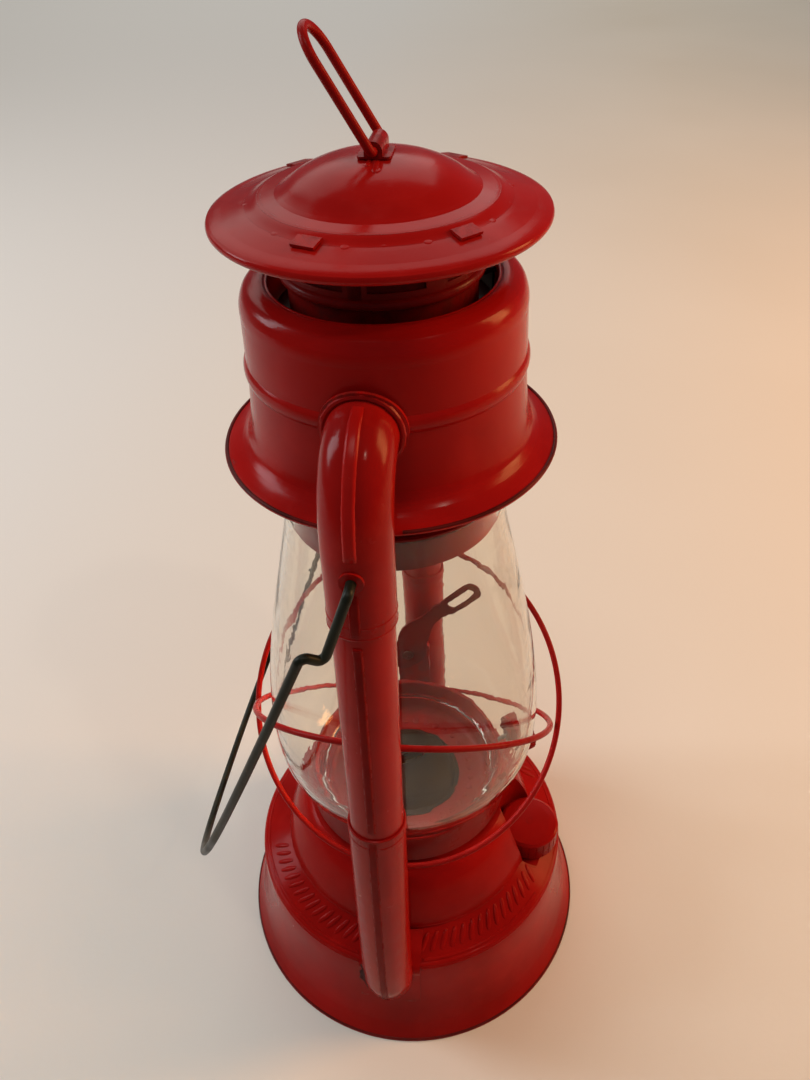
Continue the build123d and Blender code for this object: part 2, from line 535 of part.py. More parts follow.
put("draft_tube", tube(DRAFT_R, DRAFT_BORE_R, DRAFT_Z0, DRAFT_Z1))
collar = tube(36.1, 35.4, 258.8, 274.2) + tube(39.9, 35.4, 273.5, 274.2)
collar = collar + shell([[(38.4, 274.2), (38.4, 283.2)], [(38.4, 283.2), (37.6, 285.0), (35.6, 285.9)], [(35.6, 285.9), (28.45, 288.6)]], 0.7)
collar = collar + tube(38.4, 35.4, 273.5, 274.4)
collar = collar - cyl(DRAFT_R + 0.02, 270, 300)
put("draft_collar", collar)


def arc_in_space(p, t, q):
    v = q - p
    n = (v - t * v.dot(t)).normalized()
    k = v.dot(v) / (2 * v.dot(n))
    c = p + n * k
    return ThreePointArc(p, c + ((p + q) / 2 - c).normalized() * k, q)


def coil(r, pitch, turns, z0, n=6):
    """Round coil as tangent arcs, n spans of two arcs a turn."""
    slope = pitch / (2 * pi)
    out = []
    for k in range(n * turns):
        a, b = 2 * pi * k / n, 2 * pi * (k + 1) / n
        p, q = (Vector(r * cos(u), r * sin(u), z0 + slope * u) for u in (a, b))
        s, t = (Vector(-r * sin(u), r * cos(u), slope).normalized() for u in (a, b))
        v, w, st = q - p, s + t, s.dot(t)
        d = (-v.dot(w) + sqrt(v.dot(w) ** 2 + 2 * (1 - st) * v.dot(v))) / (2 * (1 - st))
        m = (p + q + (s - t) * d) / 2
        out += [arc_in_space(p, s, m), arc_in_space(m, (m - p - s * d).normalized(), q)]
    return Wire(out)


put("hood_spring", sweep_round(coil(SPRING_R, SPRING_PITCH, SPRING_TURNS, SPRING_Z0), SPRING_WIRE_R))

# lifting ring and its saddle
RZ = RING_Z
sad = box(-SADDLE_X, SADDLE_X, -4.6, 4.6, 376.6, 378.9)
sad = fillet(sad.edges().filter_by(Axis.Z), 1.2)
ear2 = cyl_x(2.5, -SADDLE_X, SADDLE_X, 0, RZ) + box(-SADDLE_X, SADDLE_X, -2.5, 2.5, 377.5, RZ)
sad = sad + ear2
sad = sad - cyl_x(RING_WIRE_R + 0.06, -10, 10, 0, RZ)
dome_fill = revolve(make_face([Line((0, 0, 378.3), (0, 0, 360)), Line((0, 0, 360), (33.9, 0, 360)), Line((33.9, 0, 360), rz(DOME[0][0])),
                               Line(rz(DOME[0][0]), rz(DOME[0][1]))] + run(DOME[1])), Axis.Z, 360)
sad = sad - box(-20, 20, -20, 20, 370, 378.3)
sad = sad - dome_fill
put("ring_saddle", sad)

tl = radians(RING_TILT)
pl_r = Plane(origin=(0, 0, RZ), x_dir=(1, 0, 0), z_dir=(0, -cos(tl), sin(tl)))


def on_r(u, v):
    return pl_r.from_local_coords(Vector(u, v, 0))


W2, rc, H = RING_HALF_W, RING_CORNER, RING_LEN
q = rc * (1 - sin(pi / 4))
hr_path = Wire([
    Line(on_r(0, 0), on_r(W2 - rc, 0)),
    ThreePointArc(on_r(W2 - rc, 0), on_r(W2 - q, q), on_r(W2, rc)),
    Line(on_r(W2, rc), on_r(W2, H)),
    ThreePointArc(on_r(W2, H), on_r(0, H + W2), on_r(-W2, H)),
    Line(on_r(-W2, H), on_r(-W2, rc)),
    ThreePointArc(on_r(-W2, rc), on_r(-W2 + q, q), on_r(-W2 + rc, 0)),
    Line(on_r(-W2 + rc, 0), on_r(0, 0)),
])
put("hood_ring", sweep_round(hr_path, RING_WIRE_R))

# ---------------------------------------------------------------- bail
th = radians(BAIL_TILT)


def in_bail(p):
    return (p[0], BAIL_Y0 + p[1] * sin(th), PIV_Z - p[1] * cos(th))


def arch(t):
    """Point of the bail's rounded arch, (x, distance down the bail's plane)."""
    c = cos(t)
    return (-BAIL_HALF_W * (1 if c >= 0 else -1) * abs(c) ** (2 / BAIL_POWER),
            BAIL_START + (BAIL_LEN - BAIL_START) * abs(sin(t)) ** (2 / BAIL_POWER))


def leg(sx):
    return bent([(sx * p[0], p[1], p[2]) for p in BAIL_LEG + [in_bail(q) for q in BAIL_SHOULDER]], 2.0)


leg_s = BAIL_SHOULDER[-1][1]
half_t = [radians(v) for v in (12, 25, 40, 56, 73)]
ts = half_t + [pi / 2] + [pi - t for t in reversed(half_t)]
a_pts = [(-BAIL_HALF_W, leg_s)] + [arch(t) for t in ts] + [(BAIL_HALF_W, leg_s)]
a_tan = [unit((-0.3, 22.0))] + [unit((arch(t + 1e-4)[0] - arch(t - 1e-4)[0], arch(t + 1e-4)[1] - arch(t - 1e-4)[1])) for t in ts] + [unit((-0.3, -22.0))]
back = []
for e in reversed(leg(1)):
    back.append(Line(e @ 1, e @ 0) if isinstance(e, Line) else ThreePointArc(e @ 1, e @ 0.5, e @ 0))
bail_path = Wire(leg(-1) + biarcs(a_pts, a_tan, in_bail) + back)
put("bail", sweep_round(bail_path, BAIL_WIRE_R))

print(len(made), "nodes")
for n, s in made.items():
    bb = s.bounding_box()
    print("%-20s vol %9.1f  solids %d valid %s  x %.1f..%.1f y %.1f..%.1f z %.1f..%.1f" % (
        n, s.volume, len(s.solids()), s.is_valid() if callable(getattr(s, "is_valid", None)) else s.is_valid,
        bb.min.X, bb.max.X, bb.min.Y, bb.max.Y, bb.min.Z, bb.max.Z))
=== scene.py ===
import json
import math
import random

import bmesh
import bpy
from mathutils import Matrix, Vector


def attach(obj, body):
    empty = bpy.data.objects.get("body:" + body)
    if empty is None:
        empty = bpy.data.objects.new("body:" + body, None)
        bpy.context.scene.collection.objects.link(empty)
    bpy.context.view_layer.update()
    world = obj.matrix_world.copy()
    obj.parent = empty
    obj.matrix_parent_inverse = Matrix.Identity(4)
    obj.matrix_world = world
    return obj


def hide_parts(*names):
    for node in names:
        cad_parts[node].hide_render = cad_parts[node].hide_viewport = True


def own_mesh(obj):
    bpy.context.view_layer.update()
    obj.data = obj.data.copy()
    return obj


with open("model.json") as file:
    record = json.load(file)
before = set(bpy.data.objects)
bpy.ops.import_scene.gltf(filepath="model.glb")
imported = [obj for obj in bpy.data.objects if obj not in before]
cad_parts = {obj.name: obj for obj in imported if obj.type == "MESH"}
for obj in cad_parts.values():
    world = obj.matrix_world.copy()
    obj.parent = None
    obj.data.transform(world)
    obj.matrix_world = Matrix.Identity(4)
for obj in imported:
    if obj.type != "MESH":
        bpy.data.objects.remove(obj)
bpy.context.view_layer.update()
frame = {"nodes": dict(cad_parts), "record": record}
MM = 0.001
SC = bpy.context.scene

# ------------------------------------------------------------------ camera
pitch, yaw, roll = math.radians(40.30), math.radians(9.28), math.radians(-2.45)
f = Vector((math.cos(pitch) * math.cos(yaw), math.cos(pitch) * math.sin(yaw), -math.sin(pitch)))
r = f.cross(Vector((0, 0, 1))).normalized()
u = r.cross(f)
r2 = r * math.cos(roll) + u * math.sin(roll)
u2 = -r * math.sin(roll) + u * math.cos(roll)
cam = bpy.data.cameras.new("camera")
cam_o = bpy.data.objects.new("camera", cam)
SC.collection.objects.link(cam_o)
M = Matrix((r2, u2, -f)).transposed().to_4x4()
M.translation = Vector((-0.2442, -0.0431, 0.451))
cam_o.matrix_world = M
cam.lens = 29.13
cam.sensor_width = 36
cam.clip_start, cam.clip_end = 0.01, 50
SC.camera = cam_o
SC.view_settings.view_transform = "Standard"


# ------------------------------------------------------------------ material helpers
class Mat:
    """A small wrapper that builds one node material."""

    def __init__(self, name, **inputs):
        self.m = bpy.data.materials.new(name)
        self.m.use_nodes = True
        self.t = self.m.node_tree
        self.n = self.t.nodes
        self.b = self.n["Principled BSDF"]
        for k, v in inputs.items():
            self.b.inputs[k.replace("_", " ")].default_value = v
        self.co = self.n.new("ShaderNodeTexCoord").outputs["Object"]

    def link(self, a, b):
        self.t.links.new(a, b)

    def mapping(self, scale):
        m = self.n.new("ShaderNodeMapping")
        m.inputs["Scale"].default_value = scale if isinstance(scale, (tuple, list)) else (scale,) * 3
        self.link(self.co, m.inputs["Vector"])
        return m.outputs["Vector"]

    def noise(self, scale, detail=3.0, rough=0.5, stretch=(1, 1, 1), distort=0.0):
        t = self.n.new("ShaderNodeTexNoise")
        t.inputs["Scale"].default_value = scale
        t.inputs["Detail"].default_value = detail
        t.inputs["Roughness"].default_value = rough
        t.inputs["Distortion"].default_value = distort
        self.link(self.mapping(stretch), t.inputs["Vector"])
        return t.outputs["Fac"]

    def voronoi(self, scale, feature="F1", stretch=(1, 1, 1)):
        t = self.n.new("ShaderNodeTexVoronoi")
        t.feature = feature
        t.inputs["Scale"].default_value = scale
        self.link(self.mapping(stretch), t.inputs["Vector"])
        return t.outputs["Distance"]

    def wave(self, scale, stretch=(1, 1, 1), distort=0.0, direction="X"):
        t = self.n.new("ShaderNodeTexWave")
        t.bands_direction = direction
        t.inputs["Scale"].default_value = scale
        t.inputs["Distortion"].default_value = distort
        self.link(self.mapping(stretch), t.inputs["Vector"])
        return t.outputs["Fac"]

    def ramp(self, fac, stops):
        t = self.n.new("ShaderNodeValToRGB")
        e = t.color_ramp.elements
        while len(e) < len(stops):
            e.new(0.5)
        for i, (p, c) in enumerate(stops):
            e[i].position = p
            e[i].color = (*c, 1) if isinstance(c, tuple) else (c, c, c, 1)
        self.link(fac, t.inputs["Fac"])
        return t.outputs["Color"]

    def mix(self, fac, a, b):
        t = self.n.new("ShaderNodeMix")
        t.data_type = "RGBA"
        for s, v in (("A", a), ("B", b)):
            i = [x for x in t.inputs if x.name == s and x.type == "RGBA"][0]
            if isinstance(v, tuple):
                i.default_value = (*v, 1)
            else:
                self.link(v, i)
        i = [x for x in t.inputs if x.name == "Factor" and x.type == "VALUE"][0]
        if isinstance(fac, (int, float)):
            i.default_value = fac
        else:
            self.link(fac, i)
        return [x for x in t.outputs if x.type == "RGBA"][0]

    def math(self, op, a, b=None, clamp=False):
        t = self.n.new("ShaderNodeMath")
        t.operation = op
        t.use_clamp = clamp
        for i, v in enumerate((a, b)):
            if v is None:
                continue
            if isinstance(v, (int, float)):
                t.inputs[i].default_value = v
            else:
                self.link(v, t.inputs[i])
        return t.outputs[0]

    def rng(self, fac, a0, a1, b0, b1):
        t = self.n.new("ShaderNodeMapRange")
        for k, v in (("From Min", a0), ("From Max", a1), ("To Min", b0), ("To Max", b1)):
            t.inputs[k].default_value = v
        t.clamp = True
        self.link(fac, t.inputs["Value"])
        return t.outputs[0]

    def xyz(self):
        t = self.n.new("ShaderNodeSeparateXYZ")
        self.link(self.co, t.inputs[0])
        return t.outputs

    def edge(self, lo=0.52, hi=0.62):
        """1 on sharp convex edges, from the mesh's pointiness."""
        g = self.n.new("ShaderNodeNewGeometry")
        return self.rng(g.outputs["Pointiness"], lo, hi, 0, 1)

    def bump(self, *hs):
        last = None
        for h, strength, dist in hs:
            t = self.n.new("ShaderNodeBump")
            t.inputs["Strength"].default_value = strength
            t.inputs["Distance"].default_value = dist
            self.link(h, t.inputs["Height"])
            if last is not None:
                self.link(last, t.inputs["Normal"])
            last = t.outputs["Normal"]
        self.link(last, self.b.inputs["Normal"])

    def color(self, c):
        self.link(c, self.b.inputs["Base Color"])

    def rough(self, c):
        self.link(c, self.b.inputs["Roughness"])


def enamel(name, base, dark, light, seed=0.0, rough=(0.13, 0.22), grime=0.5, peel=0.35, worn=0.55, spec=0.09):
    m = Mat(name, Metallic=0.0, Specular_IOR_Level=spec)
    big = m.noise(14 + seed, 4, 0.55)
    mid = m.noise(55 + seed, 5, 0.6)
    fine = m.noise(900, 2, 0.5)
    speck = m.voronoi(420)
    c = m.mix(m.rng(big, 0.35, 0.68, 0, 1), dark, base)
    c = m.mix(m.rng(mid, 0.52, 0.75, 0, 0.35), c, light)
    # thin dirt settled in soft patches, and small dark specks in the paint
    c = m.mix(m.rng(m.noise(30 + seed, 6, 0.7, distort=0.6), 0.60, 0.80, 0, 0.35 * grime), c, (0.055, 0.010, 0.008))
    c = m.mix(m.rng(speck, 0.0, 0.05, 0.3 * grime, 0), c, (0.05, 0.006, 0.005))
    # paint worn thin and dark along sharp edges
    wear = m.math("MULTIPLY", m.edge(0.545, 0.62), m.rng(m.noise(190, 4, 0.7), 0.42, 0.62, 0, 1))
    c = m.mix(m.math("MULTIPLY", wear, worn), c, (0.070, 0.010, 0.008))
    m.color(c)
    rr = m.math("ADD", m.rng(mid, 0.3, 0.7, rough[0], rough[1]), m.rng(m.noise(240, 3, 0.6), 0.55, 0.8, 0, 0.12))
    m.rough(m.math("ADD", rr, m.math("MULTIPLY", wear, 0.25)))
    m.bump((big, 0.25, 0.0005), (m.noise(120 + seed, 2, 0.5), peel * 0.6, 0.00016), (fine, 0.06, 0.00003))
    return m.m


RED = (0.43, 0.0070, 0.0050)
RED_D = (0.31, 0.0048, 0.0036)
RED_L = (0.50, 0.0130, 0.0090)
red = enamel("red_enamel", RED, RED_D, RED_L)
red_tube = enamel("red_enamel_tube", (0.38, 0.0075, 0.0055), (0.27, 0.0050, 0.0038), (0.46, 0.015, 0.010), 3, (0.13, 0.24), 0.6, 0.55)
red_base = enamel("red_enamel_base", (0.37, 0.0065, 0.0048), (0.26, 0.0045, 0.0034), (0.44, 0.013, 0.009), 7, (0.12, 0.20), 0.6, 0.5, 0.55, 0.045)
red_wire = enamel("red_enamel_wire", (0.36, 0.0085, 0.0065), (0.27, 0.0060, 0.0048), (0.44, 0.016, 0.011), 11, (0.22, 0.34), 0.6, 0.3, 0.55, 0.06)
# lighter copy of the red paint, without edge wear, for the seam strips: painted highlight
red_seam_highlit = enamel("red_enamel_seam_painted_highlight", (0.46, 0.0100, 0.0075), (0.36, 0.0065, 0.0050), (0.54, 0.024, 0.017), 17, (0.14, 0.26), 0.4, 0.4, 0.0)
red_worn = enamel("red_enamel_worn", (0.15, 0.008, 0.006), (0.05, 0.005, 0.004), (0.34, 0.012, 0.008), 13, (0.30, 0.45), 1.0, 0.3)
# darker copy of the red paint for the parts inside the globe and the hood: painted shade
red_in_shaded = enamel("red_enamel_inner_painted_shade", (0.24, 0.0060, 0.0045), (0.15, 0.0038, 0.0032), (0.31, 0.011, 0.008), 5, (0.22, 0.40), 1.0, 0.4)


def metal(name, col, dark, rough, metallic=1.0, brush=(1, 1, 1), rust=0.0, scratch=0.15):
    m = Mat(name, Metallic=metallic)
    c = m.mix(m.rng(m.noise(40, 5, 0.65), 0.35, 0.7, 0, 1), dark, col)
    if rust:
        c = m.mix(m.rng(m.noise(75, 6, 0.7), 0.56, 0.72, 0, rust), c, (0.14, 0.055, 0.022))
    m.color(c)
    m.rough(m.math("ADD", m.rng(m.noise(160, 4, 0.6), 0.3, 0.7, rough[0], rough[1]), 0.0))
    m.bump((m.noise(60, 3, 0.5), 0.25, 0.0003), (m.noise(700, 2, 0.6, brush), scratch, 0.00006))
    return m.m


steel = metal("tinned_steel", (0.46, 0.44, 0.41), (0.24, 0.22, 0.20), (0.30, 0.52), 1.0, (1, 1, 12), 0.35)
spring_steel = metal("spring_steel", (0.12, 0.11, 0.10), (0.05, 0.045, 0.04), (0.35, 0.55), 1.0, (1, 1, 1), 0.5)
brass = metal("aged_brass", (0.47, 0.31, 0.11), (0.24, 0.15, 0.055), (0.30, 0.48), 1.0, (1, 1, 8), 0.15)
solder = metal("solder", (0.33, 0.30, 0.27), (0.18, 0.16, 0.14), (0.35, 0.55), 0.9)


def dark_cone_mat():
    m = Mat("burnt_cone", Metallic=0.0, Specular_IOR_Level=0.07)
    x, y, z = m.xyz()
    rad = m.math("SQRT", m.math("ADD", m.math("MULTIPLY", x, x), m.math("MULTIPLY", y, y)))
    soot = m.noise(70, 5, 0.65)
    c = m.mix(m.rng(soot, 0.35, 0.7, 0, 1), (0.009, 0.007, 0.005), (0.022, 0.018, 0.013))
    c = m.mix(m.rng(m.math("ADD", rad, m.rng(soot, 0, 1, -0.002, 0.002)), 0.004, 0.0115, 0.85, 0), c, (0.012, 0.010, 0.009))
    m.color(c)
    m.rough(m.rng(soot, 0.3, 0.7, 0.42, 0.62))
    m.bump((m.noise(90, 3, 0.5), 0.4, 0.0004), (m.noise(800, 2, 0.6), 0.2, 0.00006))
    return m.m


def bail_mat():
    m = Mat("bail_lacquer", Metallic=0.0, Specular_IOR_Level=0.16)
    n1 = m.noise(120, 4, 0.6, (1, 1, 0.25))
    c = m.mix(m.rng(n1, 0.35, 0.65, 0, 1), (0.009, 0.010, 0.006), (0.021, 0.023, 0.014))
    c = m.mix(m.rng(m.noise(520, 5, 0.7, (1, 1, 0.3)), 0.64, 0.76, 0, 0.5), c, (0.085, 0.08, 0.06))
    m.color(c)
    m.rough(m.rng(n1, 0.3, 0.7, 0.30, 0.48))
    m.bump((n1, 0.3, 0.0002), (m.noise(900, 3, 0.6), 0.2, 0.00006))
    return m.m


def glass_mat():
    m = Mat("globe_glass", Transmission_Weight=1.0, IOR=1.34, Base_Color=(0.925, 0.91, 0.86, 1), Specular_IOR_Level=0.4)
    haze = m.noise(26, 5, 0.7, (1, 1, 0.35))
    m.rough(m.rng(haze, 0.45, 0.85, 0.0, 0.07))
    m.bump((m.noise(30, 2, 0.5, (1, 1, 0.5)), 0.5, 0.0010), (m.noise(110, 2, 0.5), 0.15, 0.0003))
    return m.m


def wick_mat():
    m = Mat("woven_cotton", Specular_IOR_Level=0.25, Sheen_Weight=0.3)
    x, y, z = m.xyz()
    weave = m.math("MULTIPLY", m.wave(300, (1, 1, 1), 0.6, "X"), m.wave(300, (1, 1, 1), 0.6, "Z"))
    c = m.mix(m.rng(weave, 0.0, 0.8, 0, 1), (0.42, 0.36, 0.25), (0.76, 0.70, 0.56))
    burn = m.rng(m.math("ADD", z, m.rng(m.noise(500, 3, 0.6), 0, 1, -0.001, 0.001)), 0.0985, 0.1012, 0, 1)
    c = m.mix(burn, c, (0.010, 0.009, 0.008))
    m.color(c)
    m.rough(m.rng(weave, 0, 1, 0.85, 0.95))
    m.bump((weave, 0.8, 0.0003))
    return m.m


def cork_mat():
    m = Mat("cork_ring", Specular_IOR_Level=0.3)
    n1 = m.voronoi(700)
    m.color(m.ramp(n1, [(0.0, (0.07, 0.04, 0.02)), (0.4, (0.22, 0.14, 0.075)), (1.0, (0.30, 0.20, 0.11))]))
    m.rough(m.rng(n1, 0, 1, 0.75, 0.9))
    m.bump((n1, 0.6, 0.0003))
    return m.m


cone_m, bail_m, glass_m, wick_m, cork_m = dark_cone_mat(), bail_mat(), glass_mat(), wick_mat(), cork_mat()

by_slot = {"red_paint": red, "dark_cone": cone_m, "bare_steel": steel, "bail_wire": bail_m, "globe_glass": glass_m,
           "wick_cotton": wick_m, "cork_rubber": cork_m, "brass_tube": brass}
special = {"guard_ring_a": red_wire, "guard_ring_b": red_wire, "hood_ring": red_wire, "hood_spring": spring_steel, "canopy_guide": spring_steel,
           "globe_plate": red_in_shaded, "hood_neck": red_in_shaded, "draft_tube": red_in_shaded, "draft_collar": red_in_shaded, "hood_bracket": red,
           "fount_shell": red_base, "air_bell": red_base, "filler_pocket": red_base, "filler_cap": red_base, "wick_knob": red_base,
           "right_tube_shoe": red_base, "left_tube_shoe": red_base, "lift_lever": red_in_shaded}
for side in ("right", "left"):
    for p in ("upper_elbow", "middle_tube", "lower_elbow"):
        special[f"{side}_{p}"] = red_tube
slot_of = {s["node"]: s["material_slot"] for s in frame["record"]["subparts"]}
for name, o in frame["nodes"].items():
    mat = special.get(name, by_slot[slot_of[name]])
    if not o.material_slots:
        o.data.materials.append(mat)
    for s in o.material_slots:
        s.material = mat


# ------------------------------------------------------------------ mesh helpers
def link_mesh(name, bm, body, mat, smooth=True, angle=40):
    bmesh.ops.recalc_face_normals(bm, faces=bm.faces)
    me = bpy.data.meshes.new(name)
    bm.to_mesh(me)
    bm.free()
    if smooth:
        me.polygons.foreach_set("use_smooth", [True] * len(me.polygons))
        me.set_sharp_from_angle(angle=math.radians(angle))
    o = bpy.data.objects.new(name, me)
    SC.collection.objects.link(o)
    me.materials.append(mat)
    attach(o, body)
    return o


def frame_at(d, up=(0, 0, 1)):
    """Axes with z along d."""
    z = Vector(d).normalized()
    x = Vector(up).cross(z)
    if x.length < 1e-4:
        x = Vector((1, 0, 0)).cross(z)
    x.normalize()
    return x, z.cross(x), z


def add_tube(bm, pts, rads, n=14, closed=False, caps=True):
    """Round bar through pts (metres) with a radius at each point."""
    rings = []
    P = [Vector(p) for p in pts]
    N = len(P)
    x0 = None
    for i, p in enumerate(P):
        a = P[(i - 1) % N] if (closed or i > 0) else P[0]
        b = P[(i + 1) % N] if (closed or i < N - 1) else P[-1]
        t = (b - a).normalized()
        if x0 is None:
            x0 = frame_at(t)[0]
        x0 = (x0 - t * x0.dot(t)).normalized()
        y0 = t.cross(x0)
        rr = rads[i] if isinstance(rads, (list, tuple)) else rads
        rings.append([bm.verts.new(p + (x0 * math.cos(2 * math.pi * k / n) + y0 * math.sin(2 * math.pi * k / n)) * rr) for k in range(n)])
    for i in range(N if closed else N - 1):
        a, b = rings[i], rings[(i + 1) % N]
        for k in range(n):
            bm.faces.new((a[k], a[(k + 1) % n], b[(k + 1) % n], b[k]))
    if not closed and caps:
        bm.faces.new(rings[0])
        bm.faces.new(rings[-1])


def add_grid(bm, rows, close=False):
    """Surface through rows of points; rows are open unless close."""
    V = [[bm.verts.new(p) for p in row] for row in rows]
    m = len(V[0])
    for a, b in zip(V[:-1], V[1:]):
        for k in range(m if close else m - 1):
            bm.faces.new((a[k], a[(k + 1) % m], b[(k + 1) % m], b[k]))
    return V


def add_revolve(bm, prof, cx=0.0, cy=0.0, n=96, a0=0.0, a1=2 * math.pi, close_prof=True):
    """Revolved closed (r, z) profile in metres about a vertical axis."""
    full = abs(a1 - a0 - 2 * math.pi) < 1e-6
    cnt = n if full else n + 1
    cols = []
    for k in range(cnt):
        a = a0 + (a1 - a0) * k / n
        cols.append([bm.verts.new((cx + p[0] * math.cos(a), cy + p[0] * math.sin(a), p[1])) for p in prof])
    m = len(prof)
    for i in range(n if full else n):
        a, b = cols[i], cols[(i + 1) % cnt]
        for k in range(m if close_prof else m - 1):
            bm.faces.new((a[k], b[k], b[(k + 1) % m], a[(k + 1) % m]))
    if not full and close_prof:
        bm.faces.new(cols[0])
        bm.faces.new(cols[-1])


def add_blob(bm, centre, axes, radii, power=2.0, nu=16, nv=8):
    """Low rounded pad: a flattened dome whose base is sunk in the surface. axes are x, y, z (z out)."""
    x, y, z = (Vector(a) for a in axes)
    c = Vector(centre)
    rows = []
    for i in range(nv + 1):
        t = math.pi / 2 * i / nv
        row = []
        for k in range(nu):
            p = 2 * math.pi * k / nu
            cu, su = math.cos(p), math.sin(p)
            ex = math.copysign(abs(cu) ** (2 / power), cu)
            ey = math.copysign(abs(su) ** (2 / power), su)
            s = math.cos(t)
            row.append(c + x * ex * radii[0] * s + y * ey * radii[1] * s + z * (radii[2] * math.sin(t)))
        rows.append(row)
    base = [[p - z * radii[2] * 1.0 for p in rows[0]]]
    V = add_grid(bm, base + rows[:-1], True)
    top = bm.verts.new(rows[-1][0])
    for k in range(nu):
        bm.faces.new((V[-1][k], V[-1][(k + 1) % nu], top))
    bm.faces.new(V[0][::-1])


def polar(az, rad, z):
    a = math.radians(az)
    return Vector((rad * math.cos(a) * MM, rad * math.sin(a) * MM, z * MM))


# ------------------------------------------------------------------ base details
# generic raised beads pressed in the sloping shoulder, in two bands, left and right
AN0, AN1 = (72.6, 54.3), (58.6, 63.2)
sl = math.hypot(AN1[0] - AN0[0], AN1[1] - AN0[1])
out_n = Vector((-(AN0[1] - AN1[1]) / sl, 0, (AN0[0] - AN1[0]) / sl))      # outward normal (r, 0, z)
run_t = Vector(((AN1[0] - AN0[0]) / sl, 0, (AN1[1] - AN0[1]) / sl))


def annulus(az, s):
    """Point and axes on the sloping shoulder, s from 0 (outer) to 1 (inner)."""
    a = math.radians(az)
    rad, z = AN0[0] + (AN1[0] - AN0[0]) * s, AN0[1] + (AN1[1] - AN0[1]) * s
    ca, sa = math.cos(a), math.sin(a)

    def turn(v):
        return Vector((v.x * ca, v.x * sa, v.z))
    return Vector((rad * ca, rad * sa, z)) * MM, (Vector((-sa, ca, 0)), turn(run_t), turn(out_n))


bm = bmesh.new()
for lo, hi in ((112, 167), (193, 250), (298, 349), (13, 70)):
    az = lo
    while az <= hi:
        c, ax = annulus(az, 0.5)
        t = math.radians(28)
        x = ax[0] * math.cos(t) - ax[1] * math.sin(t)
        y = ax[0] * math.sin(t) + ax[1] * math.cos(t)
        add_blob(bm, c, (x, y, ax[2]), (1.15 * MM, 4.6 * MM, 0.50 * MM), 2.4)
        az += 3.9
link_mesh("shoulder_beads", bm, "frame", red_base)

# two fine pressed lines that edge the band
for nm, s in (("shoulder_line_outer", 0.07), ("shoulder_line_inner", 0.93)):
    bm = bmesh.new()
    c, ax = annulus(0, s)
    rad, z = c.x / MM, c.z / MM
    prof = []
    for i in range(9):
        t = math.pi * i / 8
        q = run_t * (-math.cos(t) * 0.7) + out_n * (math.sin(t) * 0.28)
        prof.append(((rad + q.x) * MM, (z + q.z) * MM))
    prof += [((rad + 0.7 * run_t.x - 0.3 * out_n.x) * MM, (z + 0.7 * run_t.z - 0.3 * out_n.z) * MM),
             ((rad - 0.7 * run_t.x - 0.3 * out_n.x) * MM, (z - 0.7 * run_t.z - 0.3 * out_n.z) * MM)]
    for a0, a1 in (((12, 168)), ((192, 243)), ((283, 348))):
        add_revolve(bm, prof, n=int((a1 - a0) / 2), a0=math.radians(a0), a1=math.radians(a1))
    link_mesh(nm, bm, "frame", red_base)

# rolled foot rim and the crimp where skirt and shoulder meet
bm = bmesh.new()
prof = []
for i in range(14):
    t = 2 * math.pi * i / 14
    prof.append(((84.15 + 0.78 * math.cos(t)) * MM, (0.92 + 0.78 * math.sin(t)) * MM))
add_revolve(bm, prof, n=160)
link_mesh("foot_bead", bm, "frame", red_worn)
bm = bmesh.new()
prof = []
for i in range(12):
    t = 2 * math.pi * i / 12
    prof.append(((74.05 + 0.55 * math.cos(t)) * MM, (52.0 + 0.75 * math.sin(t)) * MM))
for a0, a1 in ((11, 169), (191, 349)):
    add_revolve(bm, prof, n=90, a0=math.radians(a0), a1=math.radians(a1))
link_mesh("skirt_crimp", bm, "frame", red_base)

# soldered bead where the air bell meets the shoulder
rng = random.Random(4)
bm = bmesh.new()
pts, rad = [], []
for i in range(180):
    a = 360 * i / 180
    if 236 < a < 290:
        continue
    pts.append(polar(a, 59.9 + rng.uniform(-0.08, 0.08), 62.9 + rng.uniform(-0.06, 0.06)))
    rad.append((0.62 + rng.uniform(-0.10, 0.12)) * MM)
# the run starts after the gap left for the filler
first = [i for i, p in enumerate(pts) if math.degrees(math.atan2(p.y, p.x)) % 360 >= 290][0]
pts, rad = pts[first:] + pts[:first], rad[first:] + rad[:first]
add_tube(bm, pts, rad, 8)
link_mesh("bell_seam", bm, "frame", red_base)


# ------------------------------------------------------------------ side tube details
def u_line(z):
    return 64.9 + (266.0 - z) * 0.053


def l_line(z):
    return 71.2 + (166.0 - z) * 0.072


def ring_about(bm, c, axis, r_ring, r_wire, n=56, jitter=0.0, seed=1, squash=1.0):
    x, y, z = frame_at(axis)
    g = random.Random(seed)
    pts, rads = [], []
    for i in range(n):
        t = 2 * math.pi * i / n
        rr = r_ring + g.uniform(-jitter, jitter) * 0.3
        pts.append((Vector(c) + (x * math.cos(t) + y * math.sin(t) * squash) * rr) * MM)
        rads.append((r_wire + g.uniform(-jitter, jitter)) * MM)
    add_tube(bm, pts, rads, 8, closed=True)


